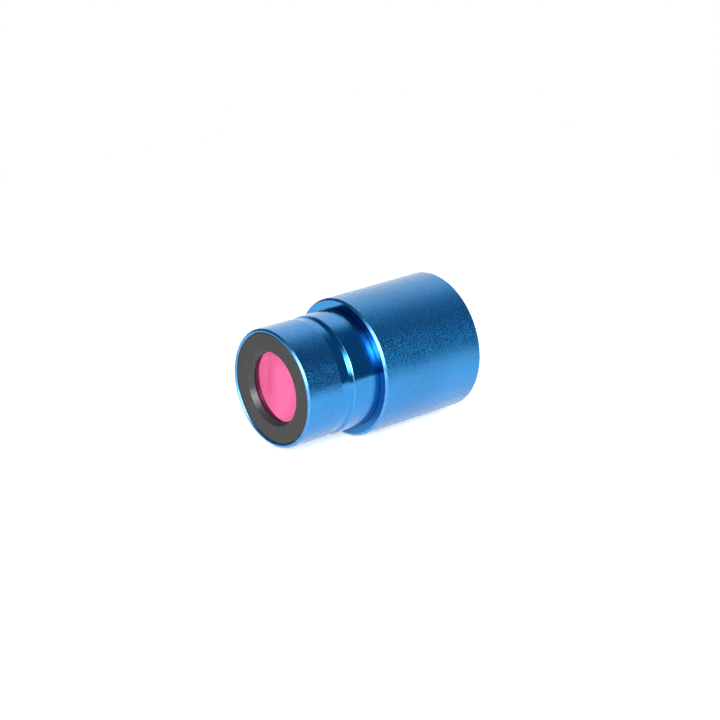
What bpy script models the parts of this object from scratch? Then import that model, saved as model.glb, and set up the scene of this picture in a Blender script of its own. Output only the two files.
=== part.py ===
"""A 1.25-inch guide camera lying on its side, built from separate pieces.

The optical axis runs along Y: the nose points to -Y and the sockets face +Y.
The body's lowest facet lies on z = 0, and the origin is under the middle of the camera.
Stations are distances along the axis, measured backwards from the front rim.
"""
import math

import bmesh
import bpy
from mathutils import Matrix, Vector

MM = 0.001

# ---------------------------------------------------------------- driving dimensions
TOTAL_LENGTH = 55.5 * MM
ROUND_STEPS = 64                     # facets on the large turned pieces
INNER_STEPS = 40                     # facets on the small rings
SCREW_STEPS = 16                     # facets on screws and spacers
LUG_STEPS = 24                       # facets on the lugs and on the notches round them
BOARD_STEPS = 48                     # facets on the boards' round edges
HEXAGON = 6                          # sides of a standoff and of a screw's socket
OVERCUT = 1.0 * MM                   # how far a cutter reaches past the face it cuts
GAP = 0.3 * MM                       # clearance where two pieces rest on each other
SLIDE_GAP = 0.2 * MM                 # clearance round pieces that turn or are screwed in

BODY_RADIUS = 18.5 * MM
BODY_FRONT = 23.1 * MM               # station of the shoulder
BODY_BEVEL = 0.9 * MM
BODY_REAR_BEVEL = 0.2 * MM
BODY_BORE = 16.2 * MM
SEAT_DEPTH = 0.15 * MM               # shallow seat in the shoulder for the nosepiece
SEAT_CLEARANCE = 0.1 * MM
FRONT_WALL = 4.4 * MM

BARREL_RADIUS = 15.85 * MM           # the 1.25-inch push-fit standard
BARREL_BORE = 11.2 * MM
GROOVE_RADIUS = 15.3 * MM
GROOVE_START = 10.8 * MM             # also the seam between the cell and the nosepiece
GROOVE_END = 13.7 * MM
CONE_END = 15.0 * MM
C_THREAD_RADIUS = 12.7 * MM          # one inch across, 32 turns per inch
C_THREAD_LENGTH = 4.2 * MM
THREAD_CLEARANCE = 0.1 * MM
SPIGOT_BEVEL = 0.3 * MM
SPIGOT_ROOM = 1.0 * MM               # free length behind the filter cell's spigot

CELL_RADIUS = 15.75 * MM
CELL_THREAD_RADIUS = 14.1 * MM       # 28.5 mm filter thread, at mid flank
CELL_THREAD_LENGTH = 3.8 * MM
CELL_BORE = 12.4 * MM
RIM_INNER_RADIUS = 14.7 * MM
RIM_BEVEL_DEPTH = 0.42 * MM
RIM_BEVEL_WIDTH = 0.53 * MM
RIM_INNER_BEVEL = 0.12 * MM
GLASS_RADIUS = 11.6 * MM
GLASS_FRONT = 2.1 * MM
GLASS_THICKNESS = 1.1 * MM
SEAT_RADIUS = 10.0 * MM
SEAT_LENGTH = 1.4 * MM
GASKET_THICKNESS = 0.3 * MM
GASKET_CLEARANCE = 0.2 * MM          # radial room between the gasket and the seat's bore
RING_RECESS = 0.3 * MM               # how far the clamping ring lies behind the rim
RING_MOUTH = 9.8 * MM
RING_THROAT = 9.2 * MM
RING_BEVEL = 0.15 * MM

SEAL_THICKNESS = 0.6 * MM
NOSE_SEAL_INNER = 13.2 * MM
NOSE_SEAL_OUTER = 14.6 * MM
NOSE_SEAL_RECESS = 14.9 * MM         # radius of the recess that the seal lies in
NOSE_SEAL_DEPTH = 0.9 * MM

SENSOR_STATION = BODY_FRONT + 12.5 * MM   # short C-mount distance from shoulder to sensor
BOARD_RADIUS = 15.8 * MM
BOARD_THICKNESS = 1.6 * MM
BOARD_SPACING = 3.6 * MM             # clear room between the two boards
BOARD_HOLE = 1.2 * MM
NOTCH_CIRCLE_SHIFT = 0.4 * MM        # the notches for the lugs lie a little further out
NOTCH_CLEARANCE = 0.6 * MM

SENSOR_SIZE = 12.0 * MM
SENSOR_DEPTH = 2.2 * MM
SENSOR_FLOOR = 0.9 * MM              # from the package's floor to its rear face
POCKET_HALF_WIDTH = 4.2 * MM
POCKET_HALF_TALL = 3.6 * MM
DIE_WIDTH = 6.4 * MM
DIE_TALL = 5.0 * MM
DIE_RISE = 0.8 * MM                  # from the package's floor to the die's front face
WINDOW_THICKNESS = 0.5 * MM
WINDOW_WIDTH = 10.4 * MM
WINDOW_TALL = 9.2 * MM

# Each chip: width, height across the board, thickness, offset in X and in Z from the axis.
CHIP_BEVEL = 0.12 * MM
INDUCTOR_BEVEL = 0.3 * MM
MEMORY_CHIP = (7.0 * MM, 5.0 * MM, 0.9 * MM, -4.5 * MM, 5.5 * MM)
VOLTAGE_REGULATOR = (3.2 * MM, 3.0 * MM, 1.0 * MM, 6.5 * MM, 5.5 * MM)
POWER_INDUCTOR = (4.0 * MM, 4.0 * MM, 2.0 * MM, 7.5 * MM, -0.5 * MM)
USB_CONTROLLER = (8.0 * MM, 8.0 * MM, 1.0 * MM, -4.5 * MM, 5.5 * MM)
CLOCK_CRYSTAL = (3.2 * MM, 2.5 * MM, 0.8 * MM, 3.5 * MM, 8.5 * MM)
CONNECTOR_WIDTH = 14.0 * MM
CONNECTOR_TALL = 3.6 * MM
CONNECTOR_HEIGHT = -7.5 * MM         # height of its middle above the optical axis

FIXING_CIRCLE = 13.9 * MM            # board screws, at 30, 150 and 270 degrees
FIXING_ANGLES = (30, 150, 270)
LUG_CIRCLE = 14.4 * MM               # rear cover screws, at 90, 210 and 330 degrees
LUG_ANGLES = (90, 210, 330)
LUG_RADIUS = 2.3 * MM
LUG_LENGTH = 7.5 * MM
LUG_HOLE = 1.1 * MM
LUG_HOLE_DEPTH = 6.0 * MM

STUD_RADIUS = 0.8 * MM               # the threaded end of a standoff
STUD_LENGTH = 2.0 * MM
STUD_HOLE = 1.0 * MM
STUD_HOLE_DEPTH = 2.5 * MM
STANDOFF_RADIUS = 1.85 * MM
STANDOFF_BORE = 1.15 * MM
STANDOFF_SOLID = 2.5 * MM            # unbored length at its front
SPACER_INNER = 1.2 * MM
SPACER_OUTER = 1.8 * MM
BOARD_SCREW_START = 3.0 * MM         # from the standoff's front to the screw's tip
SHANK_RADIUS = 0.9 * MM              # both kinds of screw
BOARD_SCREW_HEAD = 1.75 * MM
BOARD_SCREW_CROWN = 1.3 * MM
BOARD_SCREW_RIM = 0.7 * MM
BOARD_SCREW_TALL = 1.2 * MM

COVER_RADIUS = 16.9 * MM
COVER_THICKNESS = 1.6 * MM
COVER_HOLE_MOUTH = 2.1 * MM          # countersunk hole at the rear face
COVER_HOLE = 1.2 * MM
COVER_HOLE_STRAIGHT = 0.5 * MM
COVER_HEAD_RADIUS = 1.85 * MM
COVER_HEAD_DEPTH = 0.95 * MM
COVER_HEAD_RIM = 0.15 * MM
COVER_SHANK_END = 6.0 * MM
COVER_SCREW_SINK = 0.05 * MM         # how far a head lies below the rear face
HEX_RADIUS = 0.75 * MM
HEX_DEPTH = 0.8 * MM
SOCKET_SINK = 0.2 * MM               # how far both sockets lie below the rear face

USB_HEIGHT = 6.3 * MM                # height of the data socket above the optical axis
USB_WIDTH = 8.94 * MM
USB_THICKNESS = 3.16 * MM
USB_WALL = 0.3 * MM
USB_SIDES = 6                        # facets on each round end of the data socket
USB_BASE_DEPTH = 2.4 * MM
USB_BASE_WIDTH = 10.4 * MM
USB_BASE_TALL = 5.0 * MM
USB_BASE_BEVEL = 0.2 * MM
TONGUE_WIDTH = 6.6 * MM
TONGUE_TALL = 0.7 * MM
TONGUE_RECESS = 1.0 * MM             # from the shell's mouth to the tongue's end
TONGUE_BEVEL = 0.1 * MM

PORT_HEIGHT = -5.3 * MM              # height of the guide port's centre above the axis
PORT_WIDTH = 13.0 * MM
PORT_TALL = 11.4 * MM
PORT_OPENING_WIDTH = 9.8 * MM        # takes a six-way modular plug
PORT_OPENING_TALL = 6.8 * MM
PORT_FLOOR = 1.5 * MM
PORT_CEILING = 1.1 * MM              # wall above the opening
LATCH_HALF_WIDTH = 3.1 * MM
LATCH_DEPTH = 1.4 * MM
HOOK_HALF_WIDTH = 1.6 * MM
HOOK_DEPTH = 2.4 * MM
CONTACTS = 6
CONTACT_PITCH = 1.02 * MM
CONTACT_HALF = 0.22 * MM             # half the thickness of a contact wire
CONTACT_RECESS = 1.4 * MM
CONTACT_LENGTH = 6.5 * MM
CONTACT_DROP = 1.5 * MM

# ---------------------------------------------------------------- derived places
HALF_LENGTH = TOTAL_LENGTH / 2
AXIS_HEIGHT = BODY_RADIUS * math.cos(math.pi / ROUND_STEPS)
BODY_WALL_REAR = BODY_FRONT + FRONT_WALL
SENSOR_BOARD_FRONT = SENSOR_STATION + 0.7 * MM
SENSOR_BOARD_REAR = SENSOR_BOARD_FRONT + BOARD_THICKNESS
INTERFACE_FRONT = SENSOR_BOARD_REAR + BOARD_SPACING
INTERFACE_REAR = INTERFACE_FRONT + BOARD_THICKNESS
COVER_FRONT = TOTAL_LENGTH - COVER_THICKNESS
LEDGE_STATION = COVER_FRONT - GAP
LUG_REAR = LEDGE_STATION - 0.1 * MM
GLASS_REAR = GLASS_FRONT + GLASS_THICKNESS
SEAT_FRONT = GLASS_REAR + GASKET_THICKNESS + 2 * SLIDE_GAP


def axis_point(station, across=0.0, above=0.0):
    """World place of a point given by station and offsets from the optical axis."""
    return Vector((across, station - HALF_LENGTH, AXIS_HEIGHT + above))


def on_circle(radius, degrees):
    """Across and above of a point on a circle round the optical axis."""
    angle = math.radians(degrees)
    return radius * math.cos(angle), radius * math.sin(angle)


# ---------------------------------------------------------------- materials
def make_material(name, colour, roughness, metallic=0.0, alpha=1.0):
    material = bpy.data.materials.new(name)
    material.use_nodes = True
    shader = material.node_tree.nodes["Principled BSDF"]
    shader.inputs["Base Color"].default_value = (*colour, 1.0)
    shader.inputs["Roughness"].default_value = roughness
    shader.inputs["Metallic"].default_value = metallic
    shader.inputs["Alpha"].default_value = alpha
    material.diffuse_color = (*colour, alpha)
    return material


# ---------------------------------------------------------------- mesh helpers
def add_object(name, bm, material, place, smooth=False):
    """Turn a bmesh, built round its own origin, into an object standing at a place."""
    bmesh.ops.recalc_face_normals(bm, faces=bm.faces)
    mesh = bpy.data.meshes.new(name)
    bm.to_mesh(mesh)
    bm.free()
    if material is not None:
        mesh.materials.append(material)
    if smooth:
        mesh.shade_smooth()
        mesh.set_sharp_from_angle(angle=math.radians(30))
    thing = bpy.data.objects.new(name, mesh)
    thing.location = place
    bpy.context.scene.collection.objects.link(thing)
    return thing


def turned_shape(bm, outline, steps):
    """Spin a closed outline of (radius, station) points round the Y axis."""
    half_step = math.pi / steps
    turn = Matrix.Rotation(half_step, 4, "Y")
    points = [bm.verts.new(turn @ Vector((radius, along, 0.0))) for radius, along in outline]
    edges = [bm.edges.new((a, b)) for a, b in zip(points, points[1:] + points[:1])]
    bmesh.ops.spin(bm, geom=points + edges, cent=(0, 0, 0), axis=(0, 1, 0),
                   angle=2 * math.pi, steps=steps, use_merge=True)
    bmesh.ops.remove_doubles(bm, verts=bm.verts, dist=0.000001)
    on_axis = [face for face in bm.faces if face.calc_area() < 1e-12]
    bmesh.ops.delete(bm, geom=on_axis, context="FACES_ONLY")


def turned(name, outline, material, steps=ROUND_STEPS):
    """A turned piece on the optical axis; its origin is on the axis at its front end."""
    front = min(station for radius, station in outline)
    bm = bmesh.new()
    turned_shape(bm, [(radius, station - front) for radius, station in outline], steps)
    return add_object(name, bm, material, axis_point(front), smooth=True)


def add_cylinder(bm, radius, start, end, steps, across=0.0, above=0.0, phase=0.0):
    """Add a closed cylinder along Y between two stations."""
    middle = Matrix.Translation((across, (start + end) / 2, above))
    lie_along_y = Matrix.Rotation(math.pi / 2, 4, "X") @ Matrix.Rotation(phase, 4, "Z")
    bmesh.ops.create_cone(bm, cap_ends=True, segments=steps, radius1=radius, radius2=radius,
                          depth=end - start, matrix=middle @ lie_along_y)


def add_box(bm, across, along, above):
    """Add a box; each argument is a (low, high) pair."""
    size = [high - low for low, high in (across, along, above)]
    centre = [(high + low) / 2 for low, high in (across, along, above)]
    place = Matrix.Translation(centre) @ Matrix.Diagonal((*size, 1.0))
    bmesh.ops.create_cube(bm, size=1.0, matrix=place)


def box_piece(name, start, end, width, tall, material, across=0.0, above=0.0, bevel=0.0):
    """A block between two stations, centred at an offset from the optical axis."""
    bm = bmesh.new()
    half_depth = (end - start) / 2
    add_box(bm, (-width / 2, width / 2), (-half_depth, half_depth), (-tall / 2, tall / 2))
    if bevel > 0:
        bmesh.ops.bevel(bm, geom=bm.edges, offset=bevel, segments=1, affect="EDGES")
    return add_object(name, bm, material, axis_point(start + half_depth, across, above))


def ring_piece(name, inner, outer, start, end, material, steps=INNER_STEPS):
    """A plain flat ring round the optical axis."""
    outline = [(inner, start), (outer, start), (outer, end), (inner, end)]
    return turned(name, outline, material, steps)


def add_cutter(name, bm):
    """A shape that only cuts or adds to another piece."""
    cutter = add_object(name, bm, None, axis_point(0.0))
    cutter.hide_render = True
    cutter.display_type = "WIRE"
    return cutter


def combine(piece, other, operation):
    modifier = piece.modifiers.new(other.name, "BOOLEAN")
    modifier.operation = operation
    modifier.solver = "EXACT"
    modifier.object = other


def stadium(width, tall, sides):
    """Points of a flat oval in the XZ plane, anticlockwise, with straight top and bottom."""
    radius = tall / 2
    reach = width / 2 - radius
    points = []
    for centre, first in ((reach, -90), (-reach, 90)):
        for step in range(sides + 1):
            angle = math.radians(first + 180 * step / sides)
            points.append((centre + radius * math.cos(angle), radius * math.sin(angle)))
    return points


def add_prism(bm, points, start, end):
    """Extrude a closed outline in the XZ plane along Y."""
    ring = [bm.verts.new((x, start, z)) for x, z in points]
    base = bm.faces.new(ring)
    grown = bmesh.ops.extrude_face_region(bm, geom=[base])
    moved = [item for item in grown["geom"] if isinstance(item, bmesh.types.BMVert)]
    bmesh.ops.translate(bm, verts=moved, vec=(0, end - start, 0))


# ---------------------------------------------------------------- the optical pieces
def make_filter_cell(blue):
    """The satin front sleeve, with the glass seat inside and a filter thread behind."""
    spigot_end = GROOVE_START + CELL_THREAD_LENGTH
    seat_rear = SEAT_FRONT + SEAT_LENGTH
    outline = [
        (CELL_RADIUS - RIM_BEVEL_WIDTH, 0.0),
        (CELL_RADIUS, RIM_BEVEL_DEPTH),
        (CELL_RADIUS, GROOVE_START),
        (CELL_THREAD_RADIUS, GROOVE_START),
        (CELL_THREAD_RADIUS, spigot_end),
        (CELL_BORE, spigot_end),
        (CELL_BORE, seat_rear),
        (SEAT_RADIUS, seat_rear),
        (SEAT_RADIUS, SEAT_FRONT),
        (GLASS_RADIUS + GAP, SEAT_FRONT),
        (GLASS_RADIUS + GAP, GLASS_FRONT + SLIDE_GAP),
        (RIM_INNER_RADIUS, GLASS_FRONT + SLIDE_GAP),
        (RIM_INNER_RADIUS, RIM_INNER_BEVEL),
        (RIM_INNER_RADIUS + RIM_INNER_BEVEL, 0.0),
    ]
    return turned("filter_cell", outline, blue)


def make_retaining_ring(black):
    """The black threaded ring that clamps the glass, with a tapered opening."""
    rear = GLASS_FRONT - SLIDE_GAP
    outer = RIM_INNER_RADIUS - SLIDE_GAP
    outline = [
        (RING_MOUTH + RING_BEVEL, RING_RECESS),
        (outer - RING_BEVEL, RING_RECESS),
        (outer, RING_RECESS + RING_BEVEL),
        (outer, rear),
        (RING_THROAT, rear),
        (RING_MOUTH, RING_RECESS + RING_BEVEL),
    ]
    return turned("retaining_ring", outline, black)


def make_nosepiece(blue):
    """The polished barrel: filter thread in front, groove, cone, barrel, C-mount spigot."""
    front = GROOVE_START + SLIDE_GAP
    thread_bore = CELL_THREAD_RADIUS + GAP
    thread_end = GROOVE_START + CELL_THREAD_LENGTH + SPIGOT_ROOM
    rear = BODY_FRONT + SEAT_DEPTH - SLIDE_GAP
    spigot_radius = C_THREAD_RADIUS - THREAD_CLEARANCE
    spigot_end = rear + C_THREAD_LENGTH
    outline = [
        (GROOVE_RADIUS, front),
        (GROOVE_RADIUS, GROOVE_END),
        (BARREL_RADIUS, CONE_END),
        (BARREL_RADIUS, rear),
        (spigot_radius, rear),
        (spigot_radius, spigot_end - SPIGOT_BEVEL),
        (spigot_radius - SPIGOT_BEVEL, spigot_end),
        (BARREL_BORE, spigot_end),
        (BARREL_BORE, thread_end),
        (thread_bore, thread_end),
        (thread_bore, front),
    ]
    return turned("nosepiece", outline, blue)


def make_optics(blue_satin, blue_polished, black, rubber, glass):
    make_filter_cell(blue_satin)
    make_retaining_ring(black)
    bm = bmesh.new()
    add_cylinder(bm, GLASS_RADIUS, 0.0, GLASS_THICKNESS, ROUND_STEPS)
    add_object("ir_filter", bm, glass, axis_point(GLASS_FRONT), smooth=True)
    gasket_front = GLASS_REAR + SLIDE_GAP
    ring_piece("filter_gasket", SEAT_RADIUS + GASKET_CLEARANCE, GLASS_RADIUS, gasket_front,
               gasket_front + GASKET_THICKNESS, rubber)
    seal_front = GROOVE_START + CELL_THREAD_LENGTH + SLIDE_GAP
    ring_piece("cell_seal_ring", CELL_BORE, CELL_THREAD_RADIUS, seal_front,
               seal_front + SEAL_THICKNESS, rubber, ROUND_STEPS)
    make_nosepiece(blue_polished)
    seal_front = BODY_FRONT + SEAT_DEPTH
    ring_piece("nosepiece_seal_ring", NOSE_SEAL_INNER, NOSE_SEAL_OUTER, seal_front,
               seal_front + SEAL_THICKNESS, rubber, ROUND_STEPS)


# ---------------------------------------------------------------- the body
def make_body_tube(blue):
    """The outer tube, its threaded front wall, and three lugs for the rear cover."""
    seat_floor = BODY_FRONT + SEAT_DEPTH
    seal_floor = seat_floor + NOSE_SEAL_DEPTH
    seat_radius = BARREL_RADIUS + SEAT_CLEARANCE
    recess_radius = COVER_RADIUS + SLIDE_GAP
    thread_bore = C_THREAD_RADIUS + SLIDE_GAP
    rear = TOTAL_LENGTH
    outline = [
        (BODY_RADIUS - BODY_BEVEL, BODY_FRONT),
        (BODY_RADIUS, BODY_FRONT + BODY_BEVEL),
        (BODY_RADIUS, rear - BODY_REAR_BEVEL),
        (BODY_RADIUS - BODY_REAR_BEVEL, rear),
        (recess_radius, rear),
        (recess_radius, LEDGE_STATION),
        (BODY_BORE, LEDGE_STATION),
        (BODY_BORE, BODY_WALL_REAR),
        (thread_bore, BODY_WALL_REAR),
        (thread_bore, seal_floor),
        (NOSE_SEAL_RECESS, seal_floor),
        (NOSE_SEAL_RECESS, seat_floor),
        (seat_radius, seat_floor),
        (seat_radius, BODY_FRONT),
    ]
    body = turned("body_tube", outline, blue)

    lugs = bmesh.new()
    holes = bmesh.new()
    for degrees in LUG_ANGLES:
        across, above = on_circle(LUG_CIRCLE, degrees)
        add_cylinder(lugs, LUG_RADIUS, LUG_REAR - LUG_LENGTH, LUG_REAR, LUG_STEPS, across, above)
        add_cylinder(holes, LUG_HOLE, LUG_REAR - LUG_HOLE_DEPTH, LUG_REAR + OVERCUT, SCREW_STEPS,
                     across, above)
    for degrees in FIXING_ANGLES:
        across, above = on_circle(FIXING_CIRCLE, degrees)
        add_cylinder(holes, STUD_HOLE, BODY_WALL_REAR - STUD_HOLE_DEPTH,
                     BODY_WALL_REAR + OVERCUT, SCREW_STEPS, across, above)
    combine(body, add_cutter("lug_shapes", lugs), "UNION")
    combine(body, add_cutter("lug_holes", holes), "DIFFERENCE")
    return body


def make_rear_cover(blue):
    """The disc that closes the rear, with cut-outs for both sockets."""
    bm = bmesh.new()
    add_cylinder(bm, COVER_RADIUS, 0.0, COVER_THICKNESS, ROUND_STEPS,
                 phase=math.pi / ROUND_STEPS)
    cover = add_object("rear_cover", bm, blue, axis_point(COVER_FRONT), smooth=True)
    start = COVER_FRONT - OVERCUT
    end = TOTAL_LENGTH + OVERCUT
    cuts = bmesh.new()
    usb_outline = stadium(USB_WIDTH + 2 * GAP, USB_THICKNESS + 2 * GAP, USB_SIDES)
    add_prism(cuts, [(x, z + USB_HEIGHT) for x, z in usb_outline], start, end)
    half_width = PORT_WIDTH / 2 + SLIDE_GAP
    half_tall = PORT_TALL / 2 + SLIDE_GAP
    add_box(cuts, (-half_width, half_width), (start, end),
            (PORT_HEIGHT - half_tall, PORT_HEIGHT + half_tall))
    for degrees in LUG_ANGLES:
        across, above = on_circle(LUG_CIRCLE, degrees)
        middle = Matrix.Translation((across, 0.0, above))
        hole = bmesh.new()
        mouth = COVER_HOLE_MOUTH + OVERCUT
        sink = COVER_FRONT + COVER_HOLE_STRAIGHT
        turned_shape(hole, [(0.0, start), (COVER_HOLE, start), (COVER_HOLE, sink),
                            (mouth, end), (0.0, end)], SCREW_STEPS)
        hole.transform(middle)
        mesh = bpy.data.meshes.new("hole")
        hole.to_mesh(mesh)
        hole.free()
        cuts.from_mesh(mesh)
        bpy.data.meshes.remove(mesh)
    combine(cover, add_cutter("cover_cuts", cuts), "DIFFERENCE")
    return cover


def make_cover_screws(steel):
    """Countersunk screws with a hexagon socket."""
    for number, degrees in enumerate(LUG_ANGLES, start=1):
        outline = [(0.0, -COVER_SHANK_END), (SHANK_RADIUS, -COVER_SHANK_END),
                   (SHANK_RADIUS, -COVER_HEAD_DEPTH - COVER_HEAD_RIM),
                   (COVER_HEAD_RADIUS, -COVER_HEAD_RIM), (COVER_HEAD_RADIUS, 0.0), (0.0, 0.0)]
        bm = bmesh.new()
        turned_shape(bm, outline, SCREW_STEPS)
        across, above = on_circle(LUG_CIRCLE, degrees)
        place = axis_point(TOTAL_LENGTH - COVER_SCREW_SINK, across, above)
        screw = add_object(f"cover_screw_{number}", bm, steel, place, smooth=True)
        socket = bmesh.new()
        add_cylinder(socket, HEX_RADIUS, -HEX_DEPTH, OVERCUT, HEXAGON)
        cutter = add_cutter(f"cover_socket_{number}", socket)
        cutter.location = place
        combine(screw, cutter, "DIFFERENCE")


# ---------------------------------------------------------------- the boards
def make_board(name, front, material):
    """A round board, notched to pass the cover lugs and drilled for its screws."""
    bm = bmesh.new()
    add_cylinder(bm, BOARD_RADIUS, 0.0, BOARD_THICKNESS, BOARD_STEPS)
    board = add_object(name, bm, material, axis_point(front), smooth=True)
    start = front - OVERCUT
    end = front + BOARD_THICKNESS + OVERCUT
    cuts = bmesh.new()
    for degrees in LUG_ANGLES:
        across, above = on_circle(LUG_CIRCLE + NOTCH_CIRCLE_SHIFT, degrees)
        add_cylinder(cuts, LUG_RADIUS + NOTCH_CLEARANCE, start, end, LUG_STEPS, across, above)
    for degrees in FIXING_ANGLES:
        across, above = on_circle(FIXING_CIRCLE, degrees)
        add_cylinder(cuts, BOARD_HOLE, start, end, SCREW_STEPS, across, above)
    combine(board, add_cutter(name + "_cuts", cuts), "DIFFERENCE")
    return board


def make_board_fixings(brass, steel):
    """For each of the three fixings: a hexagon standoff, a spacer sleeve and a long screw."""
    stand_front = BODY_WALL_REAR + SLIDE_GAP
    stand_rear = SENSOR_BOARD_FRONT - SLIDE_GAP
    stud_front = BODY_WALL_REAR - STUD_LENGTH
    spacer_front = SENSOR_BOARD_REAR + SLIDE_GAP
    spacer_rear = INTERFACE_FRONT - SLIDE_GAP
    head_front = INTERFACE_REAR + SLIDE_GAP
    for number, degrees in enumerate(FIXING_ANGLES, start=1):
        across, above = on_circle(FIXING_CIRCLE, degrees)

        bm = bmesh.new()
        add_cylinder(bm, STANDOFF_RADIUS, stand_front, stand_rear, HEXAGON)
        bm.transform(Matrix.Translation((0.0, -stand_front, 0.0)))
        place = axis_point(stand_front, across, above)
        standoff = add_object(f"standoff_{number}", bm, brass, place)
        stud = bmesh.new()
        add_cylinder(stud, STUD_RADIUS, stud_front - stand_front, OVERCUT, SCREW_STEPS)
        stud_cutter = add_cutter(f"stud_{number}", stud)
        bore = bmesh.new()
        bore_end = stand_rear - stand_front + OVERCUT
        add_cylinder(bore, STANDOFF_BORE, STANDOFF_SOLID, bore_end, SCREW_STEPS)
        bore_cutter = add_cutter(f"standoff_bore_{number}", bore)
        for cutter, operation in ((stud_cutter, "UNION"), (bore_cutter, "DIFFERENCE")):
            cutter.location = place
            combine(standoff, cutter, operation)

        sleeve = bmesh.new()
        turned_shape(sleeve, [(SPACER_INNER, 0.0), (SPACER_OUTER, 0.0),
                              (SPACER_OUTER, spacer_rear - spacer_front),
                              (SPACER_INNER, spacer_rear - spacer_front)], SCREW_STEPS)
        add_object(f"board_spacer_{number}", sleeve, brass,
                   axis_point(spacer_front, across, above), smooth=True)

        shank_front = stand_front + BOARD_SCREW_START - head_front
        screw = bmesh.new()
        turned_shape(screw, [(0.0, shank_front), (SHANK_RADIUS, shank_front),
                             (SHANK_RADIUS, 0.0), (BOARD_SCREW_HEAD, 0.0),
                             (BOARD_SCREW_HEAD, BOARD_SCREW_RIM),
                             (BOARD_SCREW_CROWN, BOARD_SCREW_TALL),
                             (0.0, BOARD_SCREW_TALL)], SCREW_STEPS)
        add_object(f"board_screw_{number}", screw, steel,
                   axis_point(head_front, across, above), smooth=True)


def make_sensor(ceramic, silicon, glass):
    """The sensor package is a shallow tray: the die lies in it, and a window covers it."""
    rear = SENSOR_BOARD_FRONT - SLIDE_GAP
    front = rear - SENSOR_DEPTH
    package = box_piece("image_sensor", front, rear, SENSOR_SIZE, SENSOR_SIZE, ceramic)
    floor = rear - SENSOR_FLOOR
    pocket = bmesh.new()
    add_box(pocket, (-POCKET_HALF_WIDTH, POCKET_HALF_WIDTH), (front - OVERCUT, floor),
            (-POCKET_HALF_TALL, POCKET_HALF_TALL))
    combine(package, add_cutter("sensor_pocket", pocket), "DIFFERENCE")
    box_piece("sensor_die", floor - DIE_RISE, floor - SLIDE_GAP, DIE_WIDTH, DIE_TALL, silicon)
    box_piece("sensor_cover_glass", front - SLIDE_GAP - WINDOW_THICKNESS, front - SLIDE_GAP,
              WINDOW_WIDTH, WINDOW_TALL, glass)


def make_components(black, silver, ferrite):
    """Chips between the boards, each on its own board with a small gap."""
    sensor_side = SENSOR_BOARD_REAR + SLIDE_GAP
    interface_side = INTERFACE_FRONT - SLIDE_GAP
    on_sensor_board = (
        ("memory_chip", MEMORY_CHIP, black, CHIP_BEVEL),
        ("voltage_regulator", VOLTAGE_REGULATOR, black, CHIP_BEVEL),
        ("power_inductor", POWER_INDUCTOR, ferrite, INDUCTOR_BEVEL),
    )
    for name, (width, tall, thickness, across, above), material, bevel in on_sensor_board:
        box_piece(name, sensor_side, sensor_side + thickness, width, tall, material,
                  across=across, above=above, bevel=bevel)
    on_interface_board = (
        ("usb_controller", USB_CONTROLLER, black),
        ("clock_crystal", CLOCK_CRYSTAL, silver),
    )
    for name, (width, tall, thickness, across, above), material in on_interface_board:
        box_piece(name, interface_side - thickness, interface_side, width, tall, material,
                  across=across, above=above, bevel=CHIP_BEVEL)
    box_piece("board_connector", sensor_side, interface_side, CONNECTOR_WIDTH, CONNECTOR_TALL,
              black, above=CONNECTOR_HEIGHT, bevel=CHIP_BEVEL)


# ---------------------------------------------------------------- the sockets
def make_usb_socket(black, steel):
    """A flat oval steel shell round a thin tongue, on a moulded base."""
    base_front = INTERFACE_REAR + SLIDE_GAP
    base_rear = base_front + USB_BASE_DEPTH
    shell_front = base_rear + SLIDE_GAP
    shell_rear = TOTAL_LENGTH - SOCKET_SINK
    box_piece("usb_socket_base", base_front, base_rear, USB_BASE_WIDTH, USB_BASE_TALL, black,
              above=USB_HEIGHT, bevel=USB_BASE_BEVEL)
    bm = bmesh.new()
    depth = shell_rear - shell_front
    add_prism(bm, stadium(USB_WIDTH, USB_THICKNESS, USB_SIDES), 0.0, depth)
    place = axis_point(shell_front, above=USB_HEIGHT)
    shell = add_object("usb_socket_shell", bm, steel, place, smooth=True)
    hollow = bmesh.new()
    inner = stadium(USB_WIDTH - 2 * USB_WALL, USB_THICKNESS - 2 * USB_WALL, USB_SIDES)
    add_prism(hollow, inner, -OVERCUT, depth + OVERCUT)
    cutter = add_cutter("usb_hollow", hollow)
    cutter.location = place
    combine(shell, cutter, "DIFFERENCE")
    box_piece("usb_socket_tongue", shell_front, shell_rear - TONGUE_RECESS, TONGUE_WIDTH,
              TONGUE_TALL, black, above=USB_HEIGHT, bevel=TONGUE_BEVEL)


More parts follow.
